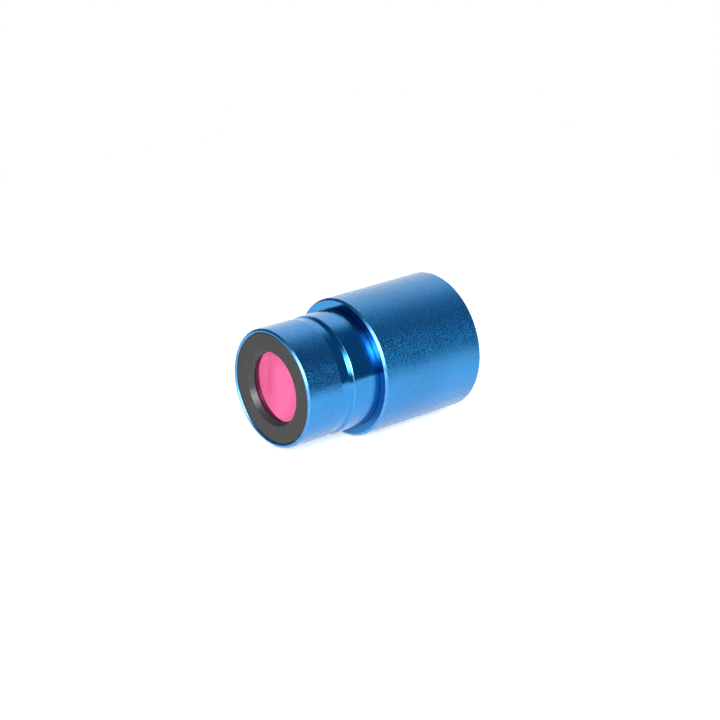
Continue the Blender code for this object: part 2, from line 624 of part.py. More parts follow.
def make_guide_port(black, gold):
    """A six-way modular socket: latch slot below, contact wires along the top."""
    front = INTERFACE_REAR + SLIDE_GAP
    rear = TOTAL_LENGTH - SOCKET_SINK
    housing = box_piece("guide_port_housing", front, rear, PORT_WIDTH, PORT_TALL, black,
                        above=PORT_HEIGHT)
    floor = front + PORT_FLOOR
    over = rear + OVERCUT
    half_width = PORT_OPENING_WIDTH / 2
    ceiling = PORT_HEIGHT + PORT_TALL / 2 - PORT_CEILING
    bottom = ceiling - PORT_OPENING_TALL
    steps = (
        (half_width, bottom, ceiling),
        (LATCH_HALF_WIDTH, bottom - LATCH_DEPTH, bottom + OVERCUT),
        (HOOK_HALF_WIDTH, bottom - HOOK_DEPTH, bottom - OVERCUT),
    )
    for number, (half, low, high) in enumerate(steps):
        cut = bmesh.new()
        add_box(cut, (-half, half), (floor, over), (low, high))
        combine(housing, add_cutter(f"port_cut_{number}", cut), "DIFFERENCE")

    wire = CONTACT_HALF
    hang = SLIDE_GAP
    drop = CONTACT_DROP
    mouth = rear - CONTACT_RECESS
    tip = mouth - CONTACT_LENGTH
    outline = [
        (mouth, -hang), (mouth, -hang - 2 * wire), (tip, -drop - 2 * wire), (tip, -drop),
    ]
    for index in range(CONTACTS):
        across = (index - (CONTACTS - 1) / 2) * CONTACT_PITCH
        contact = bmesh.new()
        side = [contact.verts.new((-wire, along - mouth, above)) for along, above in outline]
        base = contact.faces.new(side)
        grown = bmesh.ops.extrude_face_region(contact, geom=[base])
        moved = [item for item in grown["geom"] if isinstance(item, bmesh.types.BMVert)]
        bmesh.ops.translate(contact, verts=moved, vec=(2 * wire, 0, 0))
        add_object(f"guide_contact_{index + 1}", contact, gold,
                   axis_point(mouth, across, ceiling))


def build():
    for old in list(bpy.data.objects):
        bpy.data.objects.remove(old, do_unlink=True)

    blue_satin = make_material("blue_satin_anodised", (0.02, 0.14, 0.5), 0.35, 1.0)
    blue_polished = make_material("blue_polished_anodised", (0.02, 0.17, 0.6), 0.1, 1.0)
    black_matt = make_material("black_matt_anodised", (0.03, 0.03, 0.03), 0.6, 0.3)
    black_plastic = make_material("black_plastic", (0.02, 0.02, 0.02), 0.45)
    rubber = make_material("black_rubber", (0.03, 0.03, 0.03), 0.8)
    coated_glass = make_material("pink_coated_glass", (0.95, 0.15, 0.4), 0.03, 0.6)
    clear_glass = make_material("clear_glass", (0.8, 0.9, 0.9), 0.02, 0.0, 0.35)
    steel = make_material("steel", (0.6, 0.6, 0.62), 0.25, 1.0)
    brass = make_material("brass", (0.75, 0.6, 0.3), 0.3, 1.0)
    gold = make_material("gold_plating", (0.9, 0.65, 0.25), 0.2, 1.0)
    ferrite = make_material("grey_ferrite", (0.12, 0.12, 0.13), 0.6)
    ceramic = make_material("sensor_ceramic", (0.25, 0.24, 0.22), 0.5)
    silicon = make_material("silicon_die", (0.1, 0.12, 0.2), 0.15, 0.7)
    board = make_material("circuit_board", (0.01, 0.12, 0.05), 0.4)

    make_optics(blue_satin, blue_polished, black_matt, rubber, coated_glass)
    make_body_tube(blue_satin)
    make_rear_cover(blue_satin)
    make_cover_screws(steel)
    make_board("sensor_board", SENSOR_BOARD_FRONT, board)
    make_board("interface_board", INTERFACE_FRONT, board)
    make_board_fixings(brass, steel)
    make_sensor(ceramic, silicon, clear_glass)
    make_components(black_plastic, steel, ferrite)
    make_usb_socket(black_plastic, steel)
    make_guide_port(black_plastic, gold)


build()
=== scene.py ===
# %% [markdown]
# # A 1.25-inch guide camera, made as its real pieces
# The engineering model already holds every piece at its true size and place.
# This lesson gives the camera its looks: finer turned shapes, real screw threads,
# satin and polished blue anodising, a coated filter, and the sockets in the rear.

# %% Load the fixed frame
import math

import bmesh
import bpy
from mathutils import Matrix, Vector


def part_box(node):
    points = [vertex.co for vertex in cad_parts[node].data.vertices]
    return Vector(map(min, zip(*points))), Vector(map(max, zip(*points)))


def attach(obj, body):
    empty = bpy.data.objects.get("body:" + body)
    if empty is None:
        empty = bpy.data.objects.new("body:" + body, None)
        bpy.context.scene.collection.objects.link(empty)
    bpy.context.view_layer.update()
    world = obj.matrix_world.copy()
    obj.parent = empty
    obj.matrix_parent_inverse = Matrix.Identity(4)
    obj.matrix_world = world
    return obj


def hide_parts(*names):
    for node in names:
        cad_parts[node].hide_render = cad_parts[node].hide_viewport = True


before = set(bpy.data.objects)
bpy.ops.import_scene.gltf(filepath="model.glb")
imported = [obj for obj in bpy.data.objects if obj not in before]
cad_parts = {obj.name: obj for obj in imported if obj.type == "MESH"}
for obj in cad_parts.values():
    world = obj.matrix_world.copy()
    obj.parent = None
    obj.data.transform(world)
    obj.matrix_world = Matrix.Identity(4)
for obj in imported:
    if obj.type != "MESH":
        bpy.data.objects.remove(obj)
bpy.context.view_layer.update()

# %% [markdown]
# ## Where things are
# The optical axis runs along Y and the nose points to -Y. Places are measured from the
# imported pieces, so the fine shapes land exactly where the plain ones are. A "station" is
# a Y value. Lengths are in metres, written in millimetres times MM.

# %% Measure the frame
MM = 0.001
AXIS_X = 0.0
AXIS_Z = sum(end.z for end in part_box("body_tube")) / 2


def stations(node):
    """First and last station of a turned piece, and its outer radius."""
    low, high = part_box(node)
    return low.y, high.y, (high.x - low.x) / 2


cell_front, cell_rear, cell_radius = stations("filter_cell")
nose_front, nose_rear, nose_radius = stations("nosepiece")
shoulder, tail, body_radius = stations("body_tube")
print("nose", round((shoulder - cell_front) / MM, 2), "mm long")
print("body", round((tail - shoulder) / MM, 2), "mm long")

# %% [markdown]
# ## Turning on a lathe
# Almost every metal piece of this camera is turned, so one helper does most of the work.
# An outline is a closed list of corners. Each corner has a radius from the axis, a station,
# a corner rounding and the finish of the stretch that starts there. Real machined edges are
# never quite sharp: the small roundings catch light and make the piece look solid.
# A Screw modifier could spin the outline too, but building the rings by hand lets a stretch
# carry a real helical thread, or a ring take the shape of a hexagon for a screw's socket.

# %% Corners and their roundings
ARC_STEPS = 4
THREAD_ROWS = 10
LONGEST_REACH = 0.45  # a rounding never takes up more than this share of a stretch


def corner(radius, station, rounding=0.1, finish=0, thread=None, hexagon=False):
    """One corner; rounding in millimetres, thread as (pitch, depth) for the stretch after it."""
    return {"radius": radius, "station": station, "rounding": rounding * MM, "finish": finish,
            "thread": thread, "hexagon": hexagon, "share": 0.0}


def arc_points(before, here, after, rounding):
    """Points of the arc that replaces a sharp corner."""
    into = (before - here).normalized()
    out = (after - here).normalized()
    half_angle = into.angle(out) / 2
    reach = rounding / math.tan(half_angle)
    room = min((before - here).length, (after - here).length)
    reach = min(reach, LONGEST_REACH * room)
    centre = here + (into + out).normalized() * (reach / math.cos(half_angle))
    start = here + into * reach - centre
    end = here + out * reach - centre
    sweep = start.angle_signed(end)
    return [centre + Matrix.Rotation(-sweep * step / ARC_STEPS, 2) @ start
            for step in range(ARC_STEPS + 1)]


def outline_rows(corners):
    """All rings of a turned piece: rounded corners, and extra rings along its threads."""
    rows = []
    for index, this in enumerate(corners):
        here = Vector((this["radius"], this["station"]))
        places = [here]
        if this["rounding"] > 0:
            before = corners[index - 1]
            after = corners[(index + 1) % len(corners)]
            places = arc_points(Vector((before["radius"], before["station"])), here,
                                Vector((after["radius"], after["station"])), this["rounding"])
        for place in places:
            rows.append({**this, "radius": place.x, "station": place.y})
        if this["thread"]:
            after = corners[(index + 1) % len(corners)]
            length = after["station"] - rows[-1]["station"]
            count = max(2, round(abs(length) / this["thread"][0] * THREAD_ROWS))
            start = rows[-1]["station"]
            for row in range(1, count):
                share = row / count
                rows.append({**this, "station": start + length * share, "share": share})
    return rows


print("a rounded corner makes", ARC_STEPS + 1, "rings, a turn of thread", THREAD_ROWS)

# %% [markdown]
# A thread is a ridge that climbs by one pitch in each turn. Its height at a place depends on
# the station and on the angle round the axis together, and that makes the helix. It fades in
# and out over the first and last eighth of its length, like the run-out of a real thread.

# %% Rings into a mesh
LATHE_STEPS = 192
ON_AXIS = 1e-7
RUN_OUT = 1 / 8
SMOOTH_LIMIT = math.radians(38)


def radius_at(row, angle):
    """Radius of a ring at an angle round its axis, with its thread or its hexagon."""
    radius = row["radius"]
    if row["hexagon"]:
        radius /= math.cos((angle % (math.pi / 3)) - math.pi / 6)
    if row["share"] > 0:
        pitch, depth = row["thread"]
        fade = min(1.0, row["share"] / RUN_OUT, (1 - row["share"]) / RUN_OUT)
        phase = (row["station"] / pitch + angle / (2 * math.pi)) % 1.0
        radius += depth * fade * (abs(2 * phase - 1) - 0.5)
    return radius


def lathe(name, corners, steps=LATHE_STEPS, x=AXIS_X, z=AXIS_Z):
    """Spin an outline round a line along Y; each stretch keeps its finish."""
    rows = outline_rows(corners)
    bm = bmesh.new()
    rings = []
    for row in rows:
        if row["radius"] < ON_AXIS:
            rings.append([bm.verts.new((x, row["station"], z))] * steps)
            continue
        angles = [2 * math.pi * step / steps for step in range(steps)]
        rings.append([bm.verts.new((x + radius_at(row, angle) * math.cos(angle), row["station"],
                                    z + radius_at(row, angle) * math.sin(angle)))
                      for angle in angles])
    hollow = rows[0]["radius"] >= ON_AXIS
    for index in range(len(rings) if hollow else len(rings) - 1):
        ring, other = rings[index], rings[(index + 1) % len(rings)]
        for step in range(steps):
            after = (step + 1) % steps
            around = [ring[step], other[step], other[after], ring[after]]
            face = bm.faces.new(list(dict.fromkeys(around)))
            face.material_index = rows[index]["finish"]
            face.smooth = True
    bmesh.ops.recalc_face_normals(bm, faces=bm.faces)
    mesh = bpy.data.meshes.new(name)
    bm.to_mesh(mesh)
    bm.free()
    mesh.set_sharp_from_angle(angle=SMOOTH_LIMIT)
    return mesh


print("a ring has", LATHE_STEPS, "corners, unless its piece asks for another count")

# %% [markdown]
# ## Plates and blocks
# The rear cover and the sockets aren't round. A flat 2-D curve can be filled, and any loop
# inside the first one becomes a hole. Extruding it gives thickness, and the curve's own bevel
# rounds every edge evenly, those of the holes too. Small plain bricks come from one more helper.

# %% Loops
def circle(radius, x=0.0, z=0.0, steps=96):
    """A round loop; x and z are offsets from the optical axis."""
    turns = [2 * math.pi * step / steps for step in range(steps)]
    return [(x + radius * math.cos(turn), z + radius * math.sin(turn)) for turn in turns]


def rounded_box(width, tall, radius, x=0.0, z=0.0, steps=10):
    """A rectangular loop with round corners."""
    loop = []
    for side_x, side_z, start in ((1, 1, 0), (-1, 1, 90), (-1, -1, 180), (1, -1, 270)):
        for step in range(steps + 1):
            turn = math.radians(start + 90 * step / steps)
            loop.append((x + side_x * (width / 2 - radius) + radius * math.cos(turn),
                         z + side_z * (tall / 2 - radius) + radius * math.sin(turn)))
    return loop


print("a round hole has", len(circle(1.0)), "corners, a square one",
      len(rounded_box(2.0, 2.0, 0.1)))

# %% A plate with holes
def mesh_from(curve):
    """Turn a curve into a smooth mesh, and remove the curve."""
    shape = bpy.data.objects.new(curve.name, curve)
    mesh = bpy.data.meshes.new_from_object(shape)
    bpy.data.objects.remove(shape)
    mesh.name = curve.name
    bpy.data.curves.remove(curve)
    mesh.shade_smooth()
    return mesh


def plate(name, loops, start, end, edge):
    """A plate between two stations, with holes and rounded edges."""
    curve = bpy.data.curves.new(name, "CURVE")
    curve.dimensions = "2D"
    curve.fill_mode = "BOTH"
    for loop in loops:
        spline = curve.splines.new("POLY")
        spline.points.add(len(loop) - 1)
        for point, (x, z) in zip(spline.points, loop):
            point.co = (x, z, 0, 1)
        spline.use_cyclic_u = True
    curve.extrude = (end - start) / 2 - edge
    curve.bevel_depth = edge
    curve.offset = -edge
    curve.bevel_resolution = 2
    mesh = mesh_from(curve)
    # The curve lies in X and Y: stand it up, so that its thickness runs along the axis.
    mesh.transform(Matrix.Translation((AXIS_X, (start + end) / 2, AXIS_Z))
                   @ Matrix.Rotation(math.pi / 2, 4, "X"))
    mesh.set_sharp_from_angle(angle=SMOOTH_LIMIT)
    return mesh


# %% Small bricks
def bricks(name, blocks):
    """Many small blocks in one mesh; each is (x low, x high, y low, y high, z low, z high)."""
    bm = bmesh.new()
    for block in blocks:
        low, high = Vector(block[0::2]), Vector(block[1::2])
        place = Matrix.Translation((low + high) / 2 + Vector((AXIS_X, 0, AXIS_Z)))
        bmesh.ops.create_cube(bm, size=1.0, matrix=place @ Matrix.Diagonal((*(high - low), 1)))
    mesh = bpy.data.meshes.new(name)
    bm.to_mesh(mesh)
    bm.free()
    return mesh


# %% [markdown]
# Every finished piece rides on the body it belongs to and replaces its plain pieces. A
# Weighted Normal modifier makes large flat faces shade as flat and leaves all the bending
# to the small roundings. Without it, broad faces beside small bevels look dented.

# %% Put a piece in the scene
SOFT_EDGE_LIMIT = math.radians(40)


def even_shading(thing, bevel=0.0):
    """Add soft edges where asked, and let large faces rule the shading."""
    if bevel:
        modifier = thing.modifiers.new("soft_edges", "BEVEL")
        modifier.width = bevel
        modifier.segments = 2
        modifier.limit_method = "ANGLE"
        modifier.angle_limit = SOFT_EDGE_LIMIT
    modifier = thing.modifiers.new("even_shading", "WEIGHTED_NORMAL")
    modifier.keep_sharp = True


def piece(mesh, materials, body, replaced=(), bevel=0.0):
    """Make an object from a mesh, give it its finishes, and let it ride on its body."""
    for material in materials:
        mesh.materials.append(material)
    thing = bpy.data.objects.new(mesh.name, mesh)
    bpy.context.scene.collection.objects.link(thing)
    even_shading(thing, bevel)
    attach(thing, body)
    if replaced:
        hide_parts(*replaced)
    print(f"{thing.name}: {len(mesh.polygons)} faces")
    return thing


# %% [markdown]
# ## Material building blocks
# Each finish is made of procedural nodes that read Object coordinates. The meshes keep the
# frame's own metres, so a noise scale of 5000 gives grains of about 0.2 mm, whatever the
# piece's size. Painted textures would need flattened maps and lose their detail up close.
# A few node helpers keep the finishes short enough to read.

# %% A material and its noise
def new_material(name):
    """A material with its Principled shader, its node tree and its Object coordinates."""
    material = bpy.data.materials.new(name)
    material.use_nodes = True
    tree = material.node_tree
    shader = tree.nodes["Principled BSDF"]
    where = tree.nodes.new("ShaderNodeTexCoord").outputs["Object"]
    return material, tree, shader, where


def fill_sockets(tree, node, sockets):
    """Fill a node's sockets: link what another node gives, set what is a plain value."""
    for name, value in sockets.items():
        if isinstance(value, bpy.types.NodeSocket):
            tree.links.new(value, node.inputs[name])
        else:
            node.inputs[name].default_value = value


def noise(tree, vector, scale, detail=2.0, stretch=(1, 1, 1)):
    """A noise factor; stretch squeezes it along X, Y or Z."""
    if stretch != (1, 1, 1):
        mapping = tree.nodes.new("ShaderNodeMapping")
        fill_sockets(tree, mapping, {"Vector": vector, "Scale": stretch})
        vector = mapping.outputs["Vector"]
    texture = tree.nodes.new("ShaderNodeTexNoise")
    fill_sockets(tree, texture, {"Vector": vector, "Scale": scale, "Detail": detail})
    return texture.outputs["Fac"]


print("a noise of scale 5000 has grains of about", 1 / 5000 / MM, "mm")

# %% [markdown]
# A noise factor stays mostly between 0.3 and 0.7. The next helpers stretch that part of it
# onto a range of roughness, onto two colours, or onto the height of a relief.

# %% From noise to a finish
def spread(tree, value, low, high, from_low=0.3, from_high=0.7):
    """Map a factor onto a chosen range."""
    node = tree.nodes.new("ShaderNodeMapRange")
    fill_sockets(tree, node, {"Value": value, "From Min": from_low, "From Max": from_high,
                              "To Min": low, "To Max": high})
    return node.outputs["Result"]


def two_tone(tree, factor, dark, light, start=0.3, end=0.7):
    """Blend two colours by a factor."""
    ramp = tree.nodes.new("ShaderNodeValToRGB")
    ramp.color_ramp.elements[0].position = start
    ramp.color_ramp.elements[1].position = end
    ramp.color_ramp.elements[0].color = (*dark, 1)
    ramp.color_ramp.elements[1].color = (*light, 1)
    fill_sockets(tree, ramp, {"Fac": factor})
    return ramp.outputs["Color"]


def bump(tree, height, strength, depth, below=None):
    """Surface relief; depth is in metres, and below is a bump that lies under it."""
    node = tree.nodes.new("ShaderNodeBump")
    fill_sockets(tree, node, {"Height": height, "Strength": strength, "Distance": depth})
    if below is not None:
        fill_sockets(tree, node, {"Normal": below})
    return node.outputs["Normal"]


def show_finishes(*finishes):
    """Print which finishes are ready."""
    print("finishes:", ", ".join(finish.name for finish in finishes))


# %% [markdown]
# ## Blue anodising, satin and polished
# Anodised aluminium is metal under a thin, clear, dyed skin of hard oxide. The dye tints what
# the metal reflects, and the smooth skin adds its own uncoloured reflection, which grows pale
# where the surface turns away. A metallic base under a thin coat does the same.
# The body and the front band were blasted with fine beads before they were anodised. Between
# the dimples the metal stays fairly smooth, so a mix of smooth and rough spots is closer to
# the real grain than one even roughness. The other faces were cut bright on a lathe, so they
# are mirror-like, with faint rings from the tool. Their narrow bevels get a paler, whiter blue:
# a painted highlight that stands in for the light the bevels catch.

# %% Dyed metal under a clear skin
BLUE_DEEP = (0.009, 0.162, 0.380)
BLUE_BRIGHT = (0.013, 0.200, 0.460)
DYE_CLOUDS = 60.0
CLEAR_SKIN = {"Metallic": 1.0, "Specular Tint": (0.62, 0.62, 0.62, 1), "Coat Weight": 0.55,
              "Coat IOR": 1.5}


def blue_metal(name):
    """The dyed metal and its clear skin, shared by all blue finishes."""
    material, tree, shader, where = new_material(name)
    cloud = noise(tree, where, DYE_CLOUDS, 3.0)
    fill_sockets(tree, shader, {
        "Base Color": two_tone(tree, cloud, BLUE_DEEP, BLUE_BRIGHT), **CLEAR_SKIN})
    return material, tree, shader, where


# %% Satin surfaces
BEAD_DIMPLES = 4200.0
FINE_DIMPLES = 9000.0


def satin_blue(name, smooth, rough, relief, stretch):
    """Blasted metal: smooth spots between rough dimples."""
    material, tree, shader, where = blue_metal(name)
    grain = noise(tree, where, BEAD_DIMPLES, 2.0, stretch)
    fine = noise(tree, where, FINE_DIMPLES, 1.0, stretch)
    dimples = bump(tree, grain, 1.0, relief)
    fill_sockets(tree, shader, {
        "Roughness": spread(tree, grain, smooth, rough, 0.42, 0.6),
        "Normal": bump(tree, fine, 1.0, relief / 3, dimples),
        "Coat Roughness": rough})
    return material


print("bead dimples about", round(1 / BEAD_DIMPLES / MM, 2), "mm across")

# %% Polished surfaces, and edges with a painted highlight
TOOL_RINGS = 9000.0
# Paler, whiter blues for the bevels: a painted highlight, not a real change of dye.
PAINTED_HIGHLIGHT_DIM = (0.045, 0.20, 0.42)
PAINTED_HIGHLIGHT_LIGHT = (0.075, 0.26, 0.49)


def cut_blue(name, relief):
    """Bright-cut metal. Tool rings tilt it along the axis only, so reflections smear that way."""
    material, tree, shader, where = blue_metal(name)
    smears = noise(tree, where, 160.0, 4.0, (1, 0.4, 1))
    rings = noise(tree, where, TOOL_RINGS, 2.0, (0.02, 1, 0.02))
    fill_sockets(tree, shader, {
        "Roughness": spread(tree, smears, 0.07, 0.14),
        "Normal": bump(tree, rings, 1.0, relief),
        "Coat Roughness": 0.07})
    return material


def edge_with_painted_highlight():
    """Bevels in a paler, whiter blue: a painted highlight for the light they catch."""
    material, tree, shader, where = blue_metal("cut_edge_painted_highlight")
    streaks = noise(tree, where, 700.0, 3.0)
    fill_sockets(tree, shader, {
        "Base Color": two_tone(tree, streaks, PAINTED_HIGHLIGHT_DIM, PAINTED_HIGHLIGHT_LIGHT),
        "Roughness": spread(tree, streaks, 0.22, 0.34),
        "Coat Roughness": 0.2})
    return material


# %% Blue finishes
SATIN_BODY = satin_blue("satin_blue_body", 0.13, 0.29, 0.09 * MM, (1, 1, 1))
SATIN_BAND = satin_blue("satin_blue_band", 0.1, 0.28, 0.07 * MM, (0.7, 1, 0.7))
POLISHED = cut_blue("polished_blue_anodising", 0.03 * MM)
PAINTED_HIGHLIGHT_EDGE = edge_with_painted_highlight()
show_finishes(SATIN_BODY, SATIN_BAND, POLISHED, PAINTED_HIGHLIGHT_EDGE)

# %% [markdown]
# ## Black finishes
# The clamping ring and the inside of the nose are dyed black so that they send no stray light
# to the sensor. One plain black would look like a hole, and black anodising is never that
# black: it shows a fine grey grain, and here and there a speck of dust. The sockets are
# moulded plastic with a faint spark-eroded texture, and the seals are rubber. All of them
# share one recipe of two dark tones, two roughnesses and a little relief.

# %% A black with grain
GRAIN_RELIEF = 0.03 * MM


def black_finish(name, dark, light, low, high, scale, relief):
    """A dark surface with a fine grain, between two tones and two roughnesses."""
    material, tree, shader, where = new_material(name)
    grain = noise(tree, where, scale, 3.0)
    fill_sockets(tree, shader, {
        "Base Color": two_tone(tree, grain, dark, light),
        "Roughness": spread(tree, grain, low, high),
        "Normal": bump(tree, grain, relief, GRAIN_RELIEF)})
    return material, tree, shader, where


# %% Black finishes
DUST_GREY = (0.3, 0.29, 0.27, 1)


def black_anodising():
    """Matt black, with sparse grey dust."""
    material, tree, shader, where = black_finish(
        "matt_black_anodising", (0.013, 0.01, 0.0085), (0.021, 0.0165, 0.0142), 0.42, 0.58,
        4200.0, 0.3)
    dust = spread(tree, noise(tree, where, 1500.0, 1.0), 0.0, 0.5, 0.74, 0.8)
    mix = tree.nodes.new("ShaderNodeMix")
    mix.data_type = "RGBA"
    plain = shader.inputs["Base Color"].links[0].from_socket
    fill_sockets(tree, mix, {"Factor": dust, "A": plain, "B": DUST_GREY})
    fill_sockets(tree, shader, {
        "Base Color": mix.outputs["Result"], "Specular IOR Level": 0.3})
    return material


BLACK_METAL = black_anodising()
PLASTIC = black_finish("moulded_black_plastic", (0.012, 0.012, 0.013), (0.022, 0.022, 0.024),
                       0.36, 0.5, 3000.0, 0.25)[0]
RUBBER = black_finish("black_rubber", (0.014, 0.014, 0.014), (0.03, 0.03, 0.03),
                      0.65, 0.85, 1800.0, 0.3)[0]
show_finishes(BLACK_METAL, PLASTIC, RUBBER)

# %% [markdown]
# ## The filter's pink coating
# The filter stops infra-red light with a stack of clear layers, each thinner than a wave of
# light. The stack reflects pink like a mirror and lets the rest through, so a coloured mirror
# describes it better than clear glass. Its faint arcs follow the disc's rim, so their colour
# depends on the distance from the optical axis: a noise that reads only this distance
# makes rings, where an ordinary noise makes clouds. The rings fade towards the middle.

# %% Filter finishes
PINK_DEEP = (0.44, 0.032, 0.112)
PINK_BRIGHT = (0.63, 0.10, 0.232)
ARCS_START = 4.5 * MM
ARCS_FULL = 9.5 * MM
ARCS_SHARE = 0.6


def pink_coating():
    """A pink mirror with faint arcs, soft clouds and a little haze."""
    material, tree, shader, where = new_material("pink_filter_coating")
    on_axis = tree.nodes.new("ShaderNodeMapping")
    fill_sockets(tree, on_axis, {
        "Vector": where, "Location": (-AXIS_X, 0, -AXIS_Z), "Scale": (1, 0, 1)})
    distance = tree.nodes.new("ShaderNodeVectorMath")
    distance.operation = "LENGTH"
    fill_sockets(tree, distance, {0: on_axis.outputs["Vector"]})
    from_axis = distance.outputs["Value"]
    blend = tree.nodes.new("ShaderNodeMix")
    fill_sockets(tree, blend, {
        "Factor": spread(tree, from_axis, 0.0, ARCS_SHARE, ARCS_START, ARCS_FULL),
        "A": noise(tree, where, 120.0, 3.0, (1.0, 1.0, 0.3)),
        "B": noise(tree, from_axis, 1100.0, 3.0)})
    haze = noise(tree, where, 700.0, 5.0)
    waves = noise(tree, where, 90.0, 1.0)
    fill_sockets(tree, shader, {
        "Base Color": two_tone(tree, blend.outputs["Result"], PINK_DEEP, PINK_BRIGHT, 0.36, 0.64),
        "Metallic": 0.92,
        "Roughness": spread(tree, haze, 0.02, 0.08),
        "Normal": bump(tree, waves, 0.08, 0.1 * MM)})
    return material


def ground_edge_with_painted_shade():
    """The frosted rim of the cut disc: a teal tint, darkened as painted shade under the clamping
    ring.
    """
    material, tree, shader, where = new_material("ground_filter_edge_painted_shade")
    frost = noise(tree, where, 2600.0, 3.0)
    fill_sockets(tree, shader, {
        # Dark teal: the edge's own tint, made dark to paint the shade it lies in.
        "Base Color": two_tone(tree, frost, (0.01, 0.08, 0.1), (0.02, 0.14, 0.17)),
        "Roughness": spread(tree, frost, 0.25, 0.45)})
    return material


PINK = pink_coating()
SHADED_GLASS_EDGE = ground_edge_with_painted_shade()
show_finishes(PINK, SHADED_GLASS_EDGE)

# %% [markdown]
# ## Steel, brass and gold
# The screws, the socket's shell and the contact wires are bare or plated metal. They share one
# recipe: a metallic shader whose colour and roughness wander a little, with fine marks
# from turning, drawing or plating.

# %% Bare metals
def bare_metal(name, dark, light, low, high, stretch=(1, 1, 1)):
    """A bare metal between two tones and two roughnesses."""
    material, tree, shader, where = new_material(name)
    marks = noise(tree, where, 1500.0, 4.0, stretch)
    fill_sockets(tree, shader, {
        "Base Color": two_tone(tree, marks, dark, light),
        "Roughness": spread(tree, marks, low, high),
        "Normal": bump(tree, marks, 0.12, 0.02 * MM),
        "Metallic": 1.0})
    return material


STEEL = bare_metal("drawn_steel", (0.36, 0.36, 0.38), (0.46, 0.46, 0.47), 0.2, 0.36, (1, 0.1, 1))
DARK_STEEL = bare_metal("blackened_steel", (0.10, 0.10, 0.11), (0.16, 0.16, 0.17), 0.25, 0.4)
BRASS = bare_metal("turned_brass", (0.42, 0.30, 0.12), (0.5, 0.37, 0.16), 0.2, 0.35, (1, 4, 1))
GOLD = bare_metal("gold_plating", (0.58, 0.38, 0.10), (0.64, 0.43, 0.13), 0.14, 0.26)
show_finishes(STEEL, DARK_STEEL, BRASS, GOLD)

# %% [markdown]
# ## The body tube
# The body is one turned tube: a satin outside, a bevel round its front whose paler blue is a
# painted highlight, and a front wall whose face was cut to a mirror. That face is the shoulder
# that stops against the telescope's eyepiece holder. It has a shallow seat for the nosepiece,
# and its hole has a C-mount thread, one inch across with 32 turns to the inch. The inside stays
# satin, and ends in a ledge that the rear cover rests on. A cylinder could be hollowed with a
# Boolean modifier, but one closed outline says every step, edge and finish in a single list.

# %% Body tube
FINE_STEPS = 256
C_PITCH = 25.4 / 32 * MM
C_RADIUS = 12.8 * MM
C_RIDGE = 0.42 * MM
BODY_BEVEL = 0.55 * MM
BODY_BORE = 16.2 * MM
FRONT_WALL = 4.4 * MM
SEAL_POCKET = 14.9 * MM
cover_front, cover_rear, cover_radius = stations("rear_cover")
seat_radius = nose_radius + 0.12 * MM
seat_floor = shoulder + 0.15 * MM
seal_floor = seat_floor + 0.9 * MM
wall_rear = shoulder + FRONT_WALL
cover_ledge = cover_front - 0.1 * MM
cover_recess = cover_radius + 0.15 * MM
body_thread = C_RADIUS + 0.2 * MM
satin, bright, edge = range(3)

piece(lathe("body_shell", [
    # The front bevel gets the paler blue of a painted highlight.
    corner(body_radius - BODY_BEVEL, shoulder, 0.08, edge),
    corner(body_radius, shoulder + BODY_BEVEL, 0.1, satin),
    corner(body_radius, tail, 0.22, satin),
    corner(cover_recess, tail, 0.06, satin),
    corner(cover_recess, cover_ledge, 0.05, satin),
    corner(BODY_BORE, cover_ledge, 0.1, satin),
    corner(BODY_BORE, wall_rear, 0.4, satin),
    corner(body_thread, wall_rear, 0.15, satin, (C_PITCH, C_RIDGE)),
    corner(body_thread, seal_floor, 0.1, satin),
    corner(SEAL_POCKET, seal_floor, 0.05, satin),
    corner(SEAL_POCKET, seat_floor, 0.05, bright),
    corner(seat_radius, seat_floor, 0.0, bright),
    corner(seat_radius, shoulder, 0.05, bright),
], FINE_STEPS), [SATIN_BODY, POLISHED, PAINTED_HIGHLIGHT_EDGE], "camera_body",
      ["body_tube"])

# %% [markdown]
# ## Lugs for the cover's screws
# Three round lugs inside the body take the cover's screws. A Boolean could join them to the
# tube, but small turned rings that reach into its wall are simpler, and they keep the tube's
# own mesh clean.

# %% Lugs
LUG_RADIUS = 2.3 * MM
LUG_HOLE = 1.1 * MM
LUG_LENGTH = 7.5 * MM
SMALL_STEPS = 48
lug_rear = cover_front - 0.4 * MM
lug_front = lug_rear - LUG_LENGTH
screw_places = []
for number in (1, 2, 3):
    low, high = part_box(f"cover_screw_{number}")
    x, z = (low.x + high.x) / 2, (low.z + high.z) / 2
    screw_places.append((x, z))
    piece(lathe(f"body_lug_{number}", [
        corner(LUG_HOLE, lug_front, 0.1),
        corner(LUG_RADIUS, lug_front, 0.3),
        corner(LUG_RADIUS, lug_rear, 0.15),
        corner(LUG_HOLE, lug_rear, 0.1),
    ], SMALL_STEPS, x, z), [SATIN_BODY], "camera_body")

# %% [markdown]
# ## The nosepiece
# This is the barrel that slides into the telescope. It is polished all over. Its groove is
# a safety catch: a clamp screw that has loosened a little still holds the barrel by the
# cone behind the groove. In front it is bored for the filter thread, and behind it ends in
# a C-mount spigot. A bump texture could fake the threads, but it would look flat as soon as
# the pieces are unscrewed, so both are cut as true helices.

# %% Nosepiece
FILTER_PITCH = 0.6 * MM
FILTER_RIDGE = 0.3 * MM
GROOVE_RADIUS = 15.25 * MM
FILTER_BORE = 14.4 * MM
FILTER_BEVEL = 0.2 * MM
BARREL_BORE = 11.2 * MM
cone_radius = nose_radius - 0.12 * MM
groove_end = nose_front + 2.85 * MM
lip_start = nose_front + 3.65 * MM
lip_end = nose_front + 3.95 * MM
filter_bore_rear = nose_front + 4.6 * MM
barrel_rear = seat_floor - 0.08 * MM
nose_thread = C_RADIUS - 0.1 * MM
bright, black, edge = range(3)

